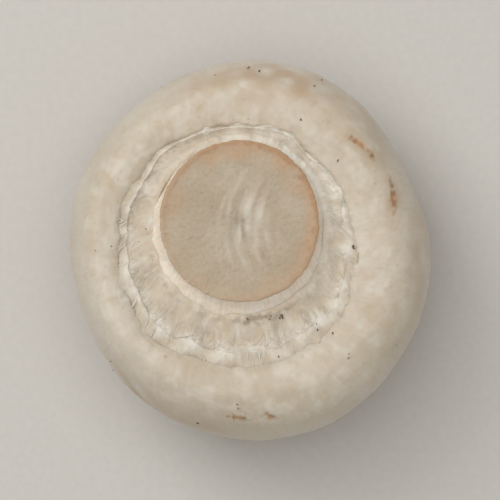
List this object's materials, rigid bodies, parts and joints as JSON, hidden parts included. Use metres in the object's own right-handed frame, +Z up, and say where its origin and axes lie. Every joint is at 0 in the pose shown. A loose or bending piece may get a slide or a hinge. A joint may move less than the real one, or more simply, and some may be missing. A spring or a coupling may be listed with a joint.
{
  "type": "button mushroom",
  "caption": "Closed button mushroom with a rounded cap, a torn veil round a short trimmed stem, lying on the crown of its cap. Food prop that rests on a surface.",
  "frame": {"origin": "on the surface that the mushroom rests on, below the middle of its box", "axes": "+Z up, from the crown of the cap towards the cut end of the stem; +Y the way the stem leans"},
  "size_m": [0.04, 0.042, 0.0252],
  "materials": {
    "cap_skin": "matte",
    "stem_flesh": "matte",
    "veil_down": "matte"
  },
  "bodies": {
    "root": {"cap": "cap_skin", "stem": "stem_flesh", "veil": "veil_down"}
  },
  "joints": []
}
